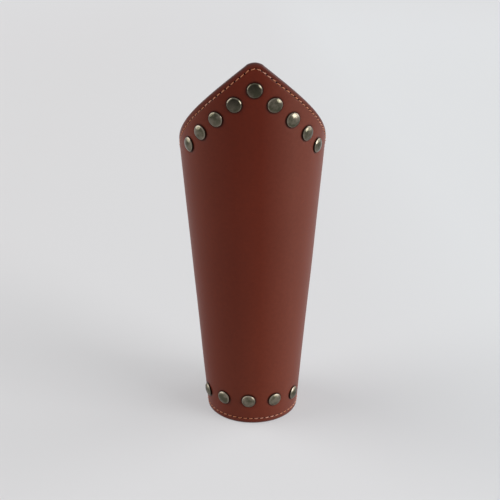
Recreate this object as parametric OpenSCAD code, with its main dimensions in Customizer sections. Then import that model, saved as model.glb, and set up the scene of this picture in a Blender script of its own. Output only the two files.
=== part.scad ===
// A leather bracer that stands on its wrist end: a tapered leather sleeve with a
// pointed elbow end, two rows of cap rivets, and three buckled straps that draw
// the opening at the back together. Millimetres, +Z up. The sleeve's axis is the
// Z axis, the wrist rim stands on Z = 0, and the point faces -Y.

/* [Sleeve] */
// Height of the rounded point above the wrist rim
tip_height = 250; // [225:5:280]
// Outer diameter at the wrist rim
wrist_d = 63.2; // [58:0.2:72]
// Outer diameter that the taper reaches at the height of the point
elbow_d = 103; // [92:0.2:116]
// Thickness of the face leather
leather_t = 2; // [1.6:0.1:2.8]
// Thickness of the lining
lining_t = 1; // [0.6:0.1:1.6]
// Width of the opening at the back, as an angle about the axis
opening_turn = 28; // [24:1:34]

/* [Elbow edge] */
// Drop from the point to the shoulder, where the edge levels out
point_drop = 60; // [50:0.5:70]
// Turn from the point to the shoulder
shoulder_turn = 93; // [84:1:104]
// Drop from the shoulder to the flap's corner at the opening
flap_drop = 7; // [2:1:14]
// How far the slanting edge dips below a straight line
edge_hollow = 0.85; // [0:0.05:2]
// Radius of the point
tip_round = 9.5; // [5:0.5:12]
// Radius of the flap's corners at the opening
corner_round = 8; // [4:0.5:12]

/* [Rivets] */
// Diameter of a rivet cap
cap_d = 9.6; // [8.4:0.2:10.4]
// Height of a rivet cap
cap_h = 2; // [1.7:0.1:2.6]
// Height of the straight part of a cap's rim
cap_rim = 0.5; // [0.3:0.1:0.7]
// Width of the bevel between a cap's rim and its face
cap_bevel = 0.7; // [0.4:0.1:1]
// Rise of a cap's face from the bevel to the middle
cap_crown = 0.6; // [0.3:0.1:0.8]
// Diameter of a rivet's tube
tube_d = 3.8; // [3.4:0.1:4.4]
// Diameter of the pin that is pressed into the tube
pin_d = 2.2; // [1.8:0.1:2.6]
// Diameter of the flat head inside the sleeve
head_d = 8; // [7:0.2:9]
// Thickness of the flat head
head_t = 1; // [0.7:0.1:1.4]
// Rivets on each side of the middle one in the elbow row
elbow_rivets_each_side = 4; // [2:1:4]
// Spacing of the elbow row along the edge
elbow_rivet_step = 15.4; // [14:0.1:17]
// Distance of the elbow row from the edge
elbow_row_inset = 14; // [12:0.2:17]
// Distance of the middle rivet from the point
point_rivet_inset = 16; // [14:0.2:19]
// How much higher the elbow row was set towards the left shoulder than the right one
elbow_row_tilt = 2; // [-3:0.2:3]
// Rivets on each side of the middle one in the wrist row
wrist_rivets_each_side = 2; // [1:1:2]
// Turn from one rivet of the wrist row to the next
wrist_rivet_step = 31.8; // [26:0.2:34]
// Height of the wrist row's middle rivet
wrist_row_z = 18.2; // [15:0.2:20]
// How much lower the wrist row would be at the sides, a quarter turn round
wrist_row_bow = 4.3; // [0:0.1:5]
// How far the wrist row was set round from the point
wrist_row_turn = -6; // [-8:0.5:4]

/* [Straps] */
// Width of a strap
strap_w = 16; // [13:0.5:18]
// Thickness of the billet, the strap that is pulled tight
billet_t = 1.6; // [1.2:0.1:1.9]
// Thickness of the chape, the folded strap that holds the buckle
chape_t = 1.3; // [1.1:0.1:1.6]
// Reach of the billet's riveted end from the middle of the opening
billet_root = 41; // [39:0.5:42]
// Reach of the billet's tip past the buckle's bar
billet_tail = 21.4; // [20:0.2:21.6]
// Reach of the chape's riveted end from the buckle's bar
chape_reach = 32.4; // [31.6:0.2:33]
// Distance of a strap's end from its last rivet
strap_end = 5.6; // [5:0.1:6]
// Distance between the billet's two rivets
billet_rivet_step = 13; // [11:0.5:14]
// Spacing of the holes along the billet
hole_step = 9.5; // [9:0.5:10.5]
// Diameter of the punched holes
hole_d = 3; // [2.6:0.1:3.6]
// Height of the wrist strap
wrist_strap_z = 33; // [31:1:38]
// Distance of the elbow strap below the flap's corner
elbow_strap_inset = 25; // [20:1:32]

/* [Buckles] */
// Diameter of the frame's wire
wire_d = 2.4; // [2.1:0.1:2.7]
// Distance from the bar that holds the chape to the bar in the roller
buckle_span = 13; // [12:0.5:14]
// Wall of the roller
roller_wall = 0.65; // [0.5:0.05:0.8]
// Diameter of the prong where it leaves its eye
prong_d = 2; // [1.7:0.1:2.2]
// Diameter of the prong at its tip
prong_tip_d = 1.6; // [1.3:0.1:1.7]
// Width of the prong's eye
eye_w = 2.4; // [2.2:0.1:2.8]
// Width of a keeper along the strap
keeper_w = 6; // [5:0.5:6.5]
// Thickness of a keeper
keeper_t = 1.2; // [1:0.1:1.4]

/* [Hidden] */
$fn = 48;

leather_color = "#6e3226";
lining_color = "#8a6a4c";
strap_color = "#5f2a20";
metal_color = "#6d685c";

degree = PI / 180;
taper = (elbow_d - wrist_d) / 2 / tip_height;
lean = atan(taper);
glue = 0.05; // between glued layers, and between a strap and what it lies on
seat = 0.03; // between a rivet's head and the leather
running = 0.05; // between a bar and what turns on it
slack = 0.1; // between straps that slide on each other, and round a rivet
side_gap = 0.4; // between a strap's edge and the wire or keeper beside it
wall = leather_t + glue + lining_t;
flap_turn = 180 - opening_turn / 2;
shoulder_z = tip_height - point_drop;
flap_z = shoulder_z - flap_drop;
elbow_strap_z = flap_z - elbow_strap_inset;
middle_strap_z = (wrist_strap_z + elbow_strap_z) / 2;

// Outer radius of the sleeve at height z, and the arc that one degree covers there.
function radius(z) = wrist_d / 2 + taper * z;
function per_degree(z) = radius(z) * degree;

// The elbow edge as a height for each turn from the point. Its slanting sides would
// meet in a peak, which the point's radius cuts off, and ease into the level edge.
tip_angle = atan((point_drop + 4 * edge_hollow) / shoulder_turn / per_degree(tip_height));
peak_z = tip_height + tip_round * (1 / cos(tip_angle) - 1);
shoulder_ease = 9; // half the turn over which the shoulder is rounded
level_fall = flap_drop / (flap_turn - shoulder_turn);

function slant(turn) =
    let (t = turn / shoulder_turn)
    peak_z + (shoulder_z - peak_z) * t - 4 * edge_hollow * t * (1 - t);
function level(turn) = shoulder_z - level_fall * (turn - shoulder_turn);
function ease(t) = t * t * (3 - 2 * t);
function shoulder(turn) =
    let (t = ease((turn - shoulder_turn + shoulder_ease) / shoulder_ease / 2))
    slant(turn) * (1 - t) + level(turn) * t;
function tip(turn) =
    let (arc = turn * per_degree(tip_height))
    peak_z - tip_round / cos(tip_angle) + sqrt(tip_round * tip_round - arc * arc);
function edge_height(turn) =
    turn * per_degree(tip_height) < tip_round * sin(tip_angle) ? tip(turn)
    : turn < shoulder_turn - shoulder_ease ? slant(turn)
    : turn < shoulder_turn + shoulder_ease ? shoulder(turn)
    : level(turn);

// How far the rounded corner of a flap cuts in at this turn.
function corner_cut(turn, z) =
    let (arc = (flap_turn - turn) * per_degree(z), in = max(0, corner_round - arc))
    corner_round - sqrt(max(0, corner_round * corner_round - in * in));
function top_z(turn) = edge_height(abs(turn)) - corner_cut(abs(turn), flap_z);
function foot_z(turn) = corner_cut(abs(turn), 0);

// Turns at which the outline is drawn, close together at the point and the corners.
tip_turns = [0 : 1 : 8];
side_step = 4;
corner_step = 10;
corner_turn = corner_round / per_degree(0);
half_turns = concat(
    [for (a = tip_turns) a],
    [for (a = [12 : side_step : flap_turn - corner_turn - side_step / 2]) a],
    [for (a = [0 : corner_step : 90]) flap_turn - corner_turn * (1 - sin(a))]
);
turns = concat([for (i = [len(half_turns) - 1 : -1 : 1]) -half_turns[i]], half_turns);

// A closed body drawn through rings of points, each ring with as many points.
module swept(rings) {
    n = len(rings[0]);
    last = len(rings) - 1;
    foot = [for (k = [1 : n - 2]) [0, k + 1, k]];
    head = [for (k = [1 : n - 2]) [last * n, last * n + k, last * n + k + 1]];
    side = [
        for (i = [0 : last - 1], k = [0 : n - 1])
            let (a = i * n + k, b = i * n + (k + 1) % n)
            each [[a, b, b + n], [a, b + n, a + n]]
    ];
    polyhedron(points = [for (r = rings) each r], faces = concat(foot, side, head), convexity = 8);
}

// The flat blank, trimmed back by this much, rolled up and with room to spare on both
// faces of the wall.
spare = 1;
function blank_ring(turn, trim) =
    let (foot = foot_z(turn) + trim, top = top_z(turn) - trim / cos(tip_angle))
    [
        for (p = [[foot, spare], [top, spare], [top, -wall - spare], [foot, -wall - spare]])
            let (r = radius(p[0]) + p[1])
            [r * sin(turn), -r * cos(turn), p[0]]
    ];

module rolled_blank(trim) {
    narrower = (flap_turn - trim / per_degree(0)) / flap_turn;
    swept([for (a = turns) blank_ring(a * narrower, trim)]);
}

// The cone's wall between two depths below the outer surface.
module cone_wall(outer, inner) {
    high = tip_height + spare;
    rotate_extrude()
        polygon([
            [radius(0) - outer, 0], [radius(high) - outer, high],
            [radius(high) - inner, high], [radius(0) - inner, 0]
        ]);
}

// Puts its children on the sleeve, with +Z outward and +Y up the sleeve.
module on_sleeve(turn, z)
    translate([radius(z) * sin(turn), -radius(z) * cos(turn), z])
        rotate([0, 0, turn])
            rotate([90 + lean, 0, 0])
                children();

// Straps. A strap's path lies in the plane across the sleeve at the strap's height,
// as points [x, y] with +y through the middle of the opening. Its width runs up the sleeve.
function polar(angle, r) = [r * sin(angle), r * cos(angle)];
function at(z, p, w = 0) =
    let (h = norm(p) - radius(z), r = radius(z) + h * cos(lean) + w * sin(lean))
    [p[0] / norm(p) * r, p[1] / norm(p) * r, z + w * cos(lean) - h * sin(lean)];
function unit(v) = v / norm(v);
function left_of(v) = [-v[1], v[0]];
function path_normal(path, i) =
    left_of(unit(path[min(i + 1, len(path) - 1)] - path[max(i - 1, 0)]));
function run_lengths(path) = [
    for (i = 0, d = 0; i < len(path); i = i + 1,
        d = i < len(path) ? d + norm(path[i] - path[i - 1]) : d) d
];

// Half the width of a strap at distance d from an end that is rounded over length l. The
// very end is left this much of the width.
blunt = 0.12;
function half_width(d, l) =
    d >= l ? strap_w / 2 : strap_w / 2 * (blunt + (1 - blunt) * sqrt(1 - pow(1 - d / l, 2)));

// A strap of thickness t along a path, with its start and end rounded over these lengths.
module ribbon(z, path, t, start_round, end_round) {
    runs = run_lengths(path);
    whole = runs[len(runs) - 1];
    swept([
        for (i = [0 : len(path) - 1])
            let (
                side = path_normal(path, i) * t / 2,
                w = min(half_width(runs[i], start_round), half_width(whole - runs[i], end_round))
            )
            [
                at(z, path[i] - side, -w), at(z, path[i] - side, w),
                at(z, path[i] + side, w), at(z, path[i] + side, -w)
            ]
    ]);
}

// Sizes that a buckle's place follows from.
wire_r = wire_d / 2;
bar_h = glue + chape_t + running + wire_r; // height of the chape's bar above the sleeve
bar_inset = 0.8; // of the bar from the edge of the flap
fold_r = wire_r + running + chape_t / 2; // of the chape's middle round the bar
over_r = fold_r + chape_t / 2 + slack + billet_t / 2; // of the billet's middle over the fold
roller_r = wire_r + running + roller_wall;
roller_rest = 0.15; // between the roller and the billet under it
prong_rest = 0.05; // between the prong and the roller under it
eye_rest = 0.1; // of the prong's eye below the face of the fold
eye_r = fold_r + chape_t / 2 - eye_rest;

function billet_ring(z) = radius(z) + glue + billet_t / 2;
function bar_angle(z) = opening_turn / 2 + bar_inset / per_degree(z);
function bar_at(z) = polar(bar_angle(z), radius(z) + bar_h);
// Turn from where the billet leaves the sleeve to the bar that it passes over.
function rise_turn(z) = acos((billet_ring(z) - over_r) / (radius(z) + bar_h));
function leave_angle(z) = bar_angle(z) - rise_turn(z);
// Slope of the frame against the straight stretch of the billet.
frame_turn = asin((over_r + billet_t / 2 + roller_rest + roller_r) / buckle_span);
// Slope of the prong against the frame.
prong_turn = asin((roller_r + prong_rest + prong_d / 2) / buckle_span);

// Heights of the chape's upper layer past the bar: over the bar, on the shelf that the
// keeper slides along, and down on the lower layer at the rivet.
keeper_gap = keeper_t + 2 * slack;
shelf_start = 6.4;
shelf_end = 17.3;
shelf_drop = 22.8;
over_bar = bar_h + fold_r;
on_shelf = glue + chape_t + keeper_gap + chape_t / 2;
on_layer = glue + chape_t + glue + chape_t / 2;
function upper_height(d) =
    d < shelf_start ? over_bar + (on_shelf - over_bar) * ease(d / shelf_start)
    : d < shelf_end ? on_shelf
    : d < shelf_drop
        ? on_shelf + (on_layer - on_shelf) * ease((d - shelf_end) / (shelf_drop - shelf_end))
    : on_layer;
// A point of that layer at distance d past the bar, and one that lies lift above it.
function on_upper(z, d) =
    polar(bar_angle(z) + d / per_degree(z), radius(z) + upper_height(d));
near = 0.1; // to each side of a point whose slope is taken
function past_bar(z, d, lift) =
    on_upper(z, d) + left_of(unit(on_upper(z, d + near) - on_upper(z, d - near))) * lift;

arc_step = 2; // along a strap that follows the sleeve
rise_step = 1.2; // along a strap over the chape's layers
fine_step = 0.6; // along a rounded end
bar_step = 15; // degrees, round the bar
root_round = 5;
tail_round = 9;

function steps(from, to, step) = [for (i = [0 : ceil((to - from) / step)])
    from + (to - from) * i / ceil((to - from) / step)];
function round_bar(z, from, to, r) = [
    for (a = steps(from, to, bar_step)) bar_at(z) + polar(a + bar_angle(z), r)
];

function billet_path(z) =
    let (
        root = -billet_root / per_degree(z),
        rounded = root + root_round / per_degree(z),
        on_flap = concat(
            steps(root, rounded, fine_step / per_degree(z)),
            steps(rounded + arc_step / per_degree(z), leave_angle(z), arc_step / per_degree(z))
        ),
        lift = chape_t / 2 + slack + billet_t / 2,
        tail = concat(
            steps(rise_step, billet_tail - tail_round, rise_step),
            steps(billet_tail - tail_round + fine_step, billet_tail, fine_step)
        )
    )
    concat(
        [for (a = on_flap) polar(a, billet_ring(z))],
        round_bar(z, -rise_turn(z), 0, over_r),
        [for (d = tail) past_bar(z, d, lift)]
    );

function chape_path(z) =
    let (
        reach = bar_angle(z) + chape_reach / per_degree(z),
        lower = concat(
            steps(0, root_round, fine_step),
            steps(root_round + arc_step, chape_reach - rise_step, arc_step)
        ),
        upper = concat(
            steps(rise_step, chape_reach - root_round, rise_step),
            steps(chape_reach - root_round + fine_step, chape_reach, fine_step)
        )
    )
    concat(
        [for (d = lower) polar(reach - d / per_degree(z), radius(z) + glue + chape_t / 2)],
        round_bar(z, 180, 360, fold_r),
        [for (d = upper) past_bar(z, d, 0)]
    );

// Puts its children at a point of a strap's plane, with +Z along the direction at this
// angle from the middle of the opening, +Y up the sleeve, and +X against the angle.
module at_point(z, p, angle)
    translate(at(z, p))
        rotate([0, 0, 180 - angle])
            rotate([90 + lean, 0, 0])
                children();

module at_bar(z) at_point(z, bar_at(z), bar_angle(z)) children();

// At the bar, turned so that +X points along the frame to the roller, or along the prong.
module along_frame(z) at_bar(z) rotate([0, rise_turn(z) - frame_turn, 0]) children();
module along_prong(z) at_bar(z) rotate([0, rise_turn(z) - frame_turn - prong_turn, 0]) children();

// Where the rivets go: [turn, height, thickness of strap under the cap].
function elbow_turn(i) =
    i < 1 ? 0
    : elbow_turn(i - 1)
        + elbow_rivet_step * cos(tip_angle) / per_degree(elbow_row_z(elbow_turn(i - 1)));
function elbow_row_z(turn) = slant(turn) - elbow_row_inset / cos(tip_angle);
elbow_row = [
    for (i = [-elbow_rivets_each_side : elbow_rivets_each_side])
        let (turn = elbow_turn(abs(i)), tilt = elbow_row_tilt / 2 * turn / shoulder_turn)
        [sign(i) * turn, i == 0 ? tip_height - point_rivet_inset : elbow_row_z(turn) - sign(i) * tilt, 0]
];
wrist_row = [
    for (i = [-wrist_rivets_each_side : wrist_rivets_each_side])
        let (turn = i * wrist_rivet_step)
        [wrist_row_turn + turn, wrist_row_z - wrist_row_bow * (1 - cos(turn)), 0]
];
billet_stack = glue + billet_t;
chape_stack = glue + chape_t + glue + chape_t;
function strap_row(z) =
    let (root = billet_root - strap_end)
    [
        [180 + root / per_degree(z), z, billet_stack],
        [180 + (root - billet_rivet_step) / per_degree(z), z, billet_stack],
        [180 - bar_angle(z) - (chape_reach - strap_end) / per_degree(z), z, chape_stack]
    ];
strap_rows = [for (z = [wrist_strap_z, middle_strap_z, elbow_strap_z]) each strap_row(z)];

rivet_hole_d = tube_d + 2 * slack;
tube_end = 0.4; // from the tube's end to the flat head

module rivet_holes(row)
    for (p = row)
        on_sleeve(p[0], p[1])
            translate([0, 0, -wall - spare])
                cylinder(d = rivet_hole_d, h = wall + chape_stack + 2 * spare);

// How deep below the outer surface a flat head's face lies, because the sleeve is hollow.
function head_depth(z) =
    let (r = radius(z) - wall)
    wall + seat + r - sqrt(r * r - head_d * head_d / 4);

// A cap with a low crown and a bevelled rim, on a tube that reaches down the hole to the
// flat head. The bevel is drawn on past the crown, which cuts it off.
module rivet_cap(z, stack) {
    face_r = cap_d / 2 - cap_bevel;
    crown_r = (face_r * face_r + cap_crown * cap_crown) / 2 / cap_crown;
    bevel_h = cap_h - cap_crown - cap_rim;
    top_r = cap_d / 2 - cap_bevel * (cap_h - cap_rim) / bevel_h;
    reach = stack + seat + head_depth(z) - tube_end;
    translate([0, 0, stack + seat])
        difference() {
            union() {
                intersection() {
                    translate([0, 0, cap_h - crown_r]) sphere(r = crown_r);
                    rotate_extrude()
                        polygon([[0, 0], [cap_d / 2, 0], [cap_d / 2, cap_rim], [top_r, cap_h], [0, cap_h]]);
                }
                translate([0, 0, -reach]) cylinder(d = tube_d, h = reach + cap_rim / 2);
            }
            translate([0, 0, -reach - spare]) cylinder(d = pin_d + 2 * running, h = reach + spare);
        }
}

// The flat head inside the sleeve, and the pin that is pressed up into the tube.
module rivet_post(z, stack) {
    depth = head_depth(z);
    translate([0, 0, -depth - head_t]) {
        cylinder(d = head_d, h = head_t);
        cylinder(d = pin_d, h = head_t + depth + stack + seat - slack);
    }
}

module rivet_caps(row)
    color(metal_color)
        for (p = row)
            on_sleeve(p[0], p[1])
                rivet_cap(p[1], p[2]);

module rivet_posts(row)
    color(metal_color)
        for (p = row)
            on_sleeve(p[0], p[1])
                rivet_post(p[1], p[2]);

// One layer of the sleeve, between two depths, with its rivet holes. The lining is
// trimmed back a little from the face leather's edge.
lining_trim = 0.3;
module sleeve_layer(outer, inner, trim)
    difference() {
        intersection() {
            cone_wall(outer, inner);
            rolled_blank(trim);
        }
        rivet_holes(concat(elbow_row, wrist_row, strap_rows));
    }

module outer_leather() color(leather_color) sleeve_layer(0, leather_t, 0);
module lining() color(lining_color) sleeve_layer(leather_t + glue, wall, lining_trim);

// Where the prong goes through the billet, as distances along the billet's straight
// stretch from the point over the bar: as it lies, and lifted by the most it can.
prong_lift = 20;
function prong_slope(z) = frame_turn + prong_turn;
function prong_reach(slope) =
    [for (side = [-1, 1])
        over_r / tan(slope) + side * (billet_t / 2 / tan(slope) + prong_d / 2 / sin(slope))];

// A long hole of width d along X from a to b.
module long_hole(a, b, d, h) {
    translate([a + d / 2, 0, -h / 2]) cylinder(d = d, h = h);
    translate([b - d / 2, 0, -h / 2]) cylinder(d = d, h = h);
    translate([a + d / 2, -d / 2, -h / 2]) cube([b - a - d, d, h]);
}

module billet(z) {
    near = prong_reach(prong_slope(z) + prong_lift)[0] - slack;
    far = prong_reach(prong_slope(z))[1] + slack;
    middle = (near + far) / 2;
    over = bar_at(z) + polar(leave_angle(z), over_r);
    drill = 3 * billet_t;
    color(strap_color)
        difference() {
            ribbon(z, billet_path(z), billet_t, root_round, tail_round);
            rivet_holes(strap_row(z));
            at_point(z, over, leave_angle(z)) {
                long_hole(near, far, hole_d, drill);
                translate([middle + hole_step, 0, -drill / 2]) cylinder(d = hole_d, h = drill);
            }
            for (i = [1, 2])
                let (d = i * hole_step - middle, p = past_bar(z, d, chape_t / 2 + billet_t / 2))
                at_point(z, p, bar_angle(z) + d / per_degree(z))
                    translate([0, 0, -drill / 2])
                        cylinder(d = hole_d, h = drill);
        }
}

module chape(z) {
    slot = eye_w + 2 * slack;
    color(strap_color)
        difference() {
            ribbon(z, chape_path(z), chape_t, root_round, root_round);
            at_bar(z) {
                rotate([90, 0, 0])
                    cylinder(r = wire_r + running, h = strap_w + 2 * spare, center = true);
                long_hole(-eye_r - slot / 2, 2 * eye_r, slot, 4 * eye_r);
            }
            rivet_holes(strap_row(z));
        }
}

// A loop of leather that slides along the chape's upper layer and holds the billet down.
keeper_at = 12;
module keeper(z) {
    low = glue + chape_t + slack;
    high = on_shelf + chape_t / 2 + slack + billet_t + slack + keeper_t;
    half = strap_w / 2 + side_gap + keeper_t;
    turn = keeper_w / per_degree(z);
    middle = bar_angle(z) + keeper_at / per_degree(z);
    color(strap_color)
        rotate([0, 0, 90 - middle - turn / 2])
            rotate_extrude(angle = turn)
                translate([radius(z), z])
                    rotate(-lean)
                        difference() {
                            translate([low, -half]) square([high - low, 2 * half]);
                            translate([low + keeper_t, keeper_t - half])
                                square([high - low - 2 * keeper_t, 2 * (half - keeper_t)]);
                        }
}

// The frame is one length of wire, bent round with tight corners.
frame_half = strap_w / 2 + side_gap + wire_r;
bend_gap = 0.1; // from a strap's edge to where a corner's bend starts
bend_r = frame_half - strap_w / 2 - bend_gap;
module buckle_frame(z)
    color(metal_color)
        along_frame(z) {
            for (x = [0, buckle_span])
                translate([x, 0, 0])
                    rotate([90, 0, 0])
                        cylinder(d = wire_d, h = 2 * (frame_half - bend_r), center = true);
            for (y = [-frame_half, frame_half])
                translate([bend_r, y, 0])
                    rotate([0, 90, 0])
                        cylinder(d = wire_d, h = buckle_span - 2 * bend_r);
            for (c = [[0, 1, 180], [1, 1, 270], [1, -1, 0], [0, -1, 90]])
                translate([c[0] ? buckle_span - bend_r : bend_r, -c[1] * (frame_half - bend_r), 0])
                    rotate([0, 0, c[2]])
                        rotate_extrude(angle = 90)
                            translate([bend_r, 0])
                                circle(d = wire_d);
        }

module buckle_roller(z)
    color(metal_color)
        along_frame(z)
            translate([buckle_span, 0, 0])
                rotate([90, 0, 0])
                    difference() {
                        cylinder(r = roller_r, h = strap_w - 2 * slack, center = true);
                        cylinder(r = wire_r + running, h = strap_w + 2 * spare, center = true);
                    }

past_roller = 1.6; // of the prong beyond the middle of the roller
module buckle_prong(z) {
    arm = buckle_span * cos(prong_turn) + past_roller - wire_r - running;
    color(metal_color)
        along_prong(z)
            difference() {
                union() {
                    rotate([90, 0, 0]) cylinder(r = eye_r, h = eye_w, center = true);
                    translate([wire_r + running, 0, 0])
                        rotate([0, 90, 0])
                            cylinder(d1 = prong_d, d2 = prong_tip_d, h = arm);
                    translate([wire_r + running + arm, 0, 0]) sphere(d = prong_tip_d);
                }
                rotate([90, 0, 0]) cylinder(r = wire_r + running, h = eye_w + 2 * spare, center = true);
            }
}

outer_leather();
lining();
rivet_caps(elbow_row);  // elbow_rivet_caps
rivet_posts(elbow_row);  // elbow_rivet_posts
rivet_caps(wrist_row);  // wrist_rivet_caps
rivet_posts(wrist_row);  // wrist_rivet_posts
rivet_caps(strap_rows);  // strap_rivet_caps
rivet_posts(strap_rows);  // strap_rivet_posts
billet(wrist_strap_z);  // wrist_billet
chape(wrist_strap_z);  // wrist_chape
keeper(wrist_strap_z);  // wrist_keeper
buckle_frame(wrist_strap_z);  // wrist_buckle_frame
buckle_roller(wrist_strap_z);  // wrist_buckle_roller
buckle_prong(wrist_strap_z);  // wrist_buckle_prong
billet(middle_strap_z);  // middle_billet
chape(middle_strap_z);  // middle_chape
keeper(middle_strap_z);  // middle_keeper
buckle_frame(middle_strap_z);  // middle_buckle_frame
buckle_roller(middle_strap_z);  // middle_buckle_roller
buckle_prong(middle_strap_z);  // middle_buckle_prong
billet(elbow_strap_z);  // elbow_billet
chape(elbow_strap_z);  // elbow_chape
keeper(elbow_strap_z);  // elbow_keeper
buckle_frame(elbow_strap_z);  // elbow_buckle_frame
buckle_roller(elbow_strap_z);  // elbow_buckle_roller
buckle_prong(elbow_strap_z);  // elbow_buckle_prong
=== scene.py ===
import math
import bmesh
import bpy
import numpy as np
from mathutils import Matrix, Vector, noise
from mathutils.geometry import delaunay_2d_cdt


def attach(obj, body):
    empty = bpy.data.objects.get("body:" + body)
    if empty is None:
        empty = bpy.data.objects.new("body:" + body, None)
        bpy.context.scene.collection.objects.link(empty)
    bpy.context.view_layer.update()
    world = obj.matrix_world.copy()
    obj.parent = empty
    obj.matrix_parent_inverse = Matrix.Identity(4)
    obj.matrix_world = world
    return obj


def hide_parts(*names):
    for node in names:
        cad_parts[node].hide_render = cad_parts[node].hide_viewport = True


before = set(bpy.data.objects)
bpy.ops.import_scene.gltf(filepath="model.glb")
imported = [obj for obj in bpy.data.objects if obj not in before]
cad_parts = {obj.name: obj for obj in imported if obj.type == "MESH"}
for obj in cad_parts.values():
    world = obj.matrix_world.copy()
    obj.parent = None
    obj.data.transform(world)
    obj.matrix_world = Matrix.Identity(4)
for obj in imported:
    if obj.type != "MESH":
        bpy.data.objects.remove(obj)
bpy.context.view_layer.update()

# The bracer stands on its wrist rim: +Z up the sleeve, the point towards -Y, the
# opening and its straps towards +Y. Sizes here are in millimetres, as in the CAD
# model, and become metres where a mesh is made.
MM = 0.001

# Sleeve and elbow edge
TIP_HEIGHT = 250
WRIST_D = 63.2
ELBOW_D = 103
LEATHER_T = 2
LINING_T = 1
LINING_TRIM = 0.3
GLUE = 0.05
OPENING_TURN = 28
POINT_DROP = 60
SHOULDER_TURN = 93
SHOULDER_EASE = 9
FLAP_DROP = 7
EDGE_HOLLOW = 0.85
TIP_ROUND = 9.5
CORNER_ROUND = 8

# Rivets
SEAT = 0.03
ELBOW_RIVETS_EACH_SIDE = 4
ELBOW_RIVET_STEP = 15.4
ELBOW_ROW_INSET = 14
POINT_RIVET_INSET = 16
ELBOW_ROW_TILT = 2
WRIST_RIVETS_EACH_SIDE = 2
WRIST_RIVET_STEP = 31.8
WRIST_ROW_Z = 18.2
WRIST_ROW_BOW = 4.3
WRIST_ROW_TURN = -6

# Straps and buckles
STRAP_W = 16
BILLET_T = 1.6
CHAPE_T = 1.3
BILLET_ROOT = 41
BILLET_TAIL = 21.4
CHAPE_REACH = 32.4
STRAP_END = 5.6
BILLET_RIVET_STEP = 13
HOLE_STEP = 9.5
HOLE_D = 3
STRAP_HEIGHTS = {"wrist": 33, "middle": 95.5, "elbow": 158}
WIRE_R = 1.2
BUCKLE_SPAN = 13
ROLLER_WALL = 0.65
PRONG_D = 2
PRONG_LIFT = 20
EYE_W = 2.4
EYE_REST = 0.1
KEEPER_W = 6
KEEPER_T = 1.2
KEEPER_AT = 12
BAR_INSET = 0.8
RUNNING = 0.05
SLACK = 0.1
SIDE_GAP = 0.4
ROLLER_REST = 0.15
PRONG_REST = 0.05
SHELF_START = 6.4
SHELF_END = 17.3
SHELF_DROP = 22.8
ROOT_ROUND = 5
TAIL_ROUND = 9

# Stitching: it was sewn by eye, so its distance from the edge differs a little
STITCH_INSET = 3.1
STITCH_INSET_AT_FOOT = 3.8
STITCH_DRIFT = 0.5
STITCH_PITCH = 3.8
POINTS_PER_STITCH = 6
THREAD_D = 0.56

TAPER = (ELBOW_D - WRIST_D) / 2 / TIP_HEIGHT
LEAN = math.atan(TAPER)
FLAP_TURN = 180 - OPENING_TURN / 2
SHOULDER_Z = TIP_HEIGHT - POINT_DROP
FLAP_Z = SHOULDER_Z - FLAP_DROP
WALL = LEATHER_T + GLUE + LINING_T


def radius(z):
    """Of the sleeve's outer face at this height."""
    return WRIST_D / 2 + TAPER * z


def per_degree(z):
    """The length of one degree of turn on the outer face."""
    return radius(z) * math.pi / 180


# The elbow edge. Its two slants would meet at PEAK_Z, and an arc rounds them off. Turns
# are in degrees from the point.
TIP_ANGLE = math.atan((POINT_DROP + 4 * EDGE_HOLLOW) / SHOULDER_TURN / per_degree(TIP_HEIGHT))
PEAK_Z = TIP_HEIGHT + TIP_ROUND * (1 / math.cos(TIP_ANGLE) - 1)
LEVEL_FALL = FLAP_DROP / (FLAP_TURN - SHOULDER_TURN)


def slant(turn):
    """The height of the slanted edge, which is a little hollow."""
    t = turn / SHOULDER_TURN
    return PEAK_Z + (SHOULDER_Z - PEAK_Z) * t - 4 * EDGE_HOLLOW * t * (1 - t)


def ease(t):
    """From 0 to 1 with a level start and end."""
    return t * t * (3 - 2 * t)


def edge_height(turn):
    """The round point, the slant, and the eased shoulder with the flap's edge past it."""
    arc = turn * per_degree(TIP_HEIGHT)
    if arc < TIP_ROUND * math.sin(TIP_ANGLE):
        return PEAK_Z - TIP_ROUND / math.cos(TIP_ANGLE) + math.sqrt(TIP_ROUND**2 - arc**2)
    level = SHOULDER_Z - LEVEL_FALL * (turn - SHOULDER_TURN)
    past = (turn - SHOULDER_TURN + SHOULDER_EASE) / SHOULDER_EASE / 2
    t = ease(min(max(past, 0), 1))
    return slant(turn) * (1 - t) + level * t


def corner_cut(turn, z):
    """How much a round corner at the opening takes off the edge near this height."""
    arc = (FLAP_TURN - turn) * per_degree(z)
    inside = max(0, CORNER_ROUND - arc)
    return CORNER_ROUND - math.sqrt(max(0, CORNER_ROUND**2 - inside**2))


def top_z(turn):
    return edge_height(abs(turn)) - corner_cut(abs(turn), FLAP_Z)


def foot_z(turn):
    return corner_cut(abs(turn), 0)


# The flat pattern: the cone's surface laid out flat, where distances are true
def to_flat(turn, z):
    reach = radius(z) / math.sin(LEAN)
    angle = math.radians(turn) * math.sin(LEAN)
    return (reach * math.sin(angle), reach * math.cos(angle))


def from_flat(flat):
    """The turn of each point, in radians, and the sleeve's radius there."""
    reach = np.hypot(flat[:, 0], flat[:, 1])
    turn = np.arctan2(flat[:, 0], flat[:, 1]) / math.sin(LEAN)
    return turn, reach * math.sin(LEAN)


def roll(flat, height):
    """Points of the flat pattern, rolled up, each one this high above the face."""
    turn, on_cone = from_flat(flat)
    r = on_cone + height * math.cos(LEAN)
    z = (on_cone - WRIST_D / 2) / TAPER - height * math.sin(LEAN)
    return np.stack([r * np.sin(turn), -r * np.cos(turn), z], axis=1)


# Lines, as arrays of points in the plane
def run_lengths(points, closed=True):
    """The distance along the line to each point, and round to the first if it is closed."""
    ends = np.roll(points, -1, axis=0) if closed else points[1:]
    steps = np.linalg.norm(ends - points[: len(ends)], axis=1)
    return np.concatenate([[0], np.cumsum(steps)])


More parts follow.
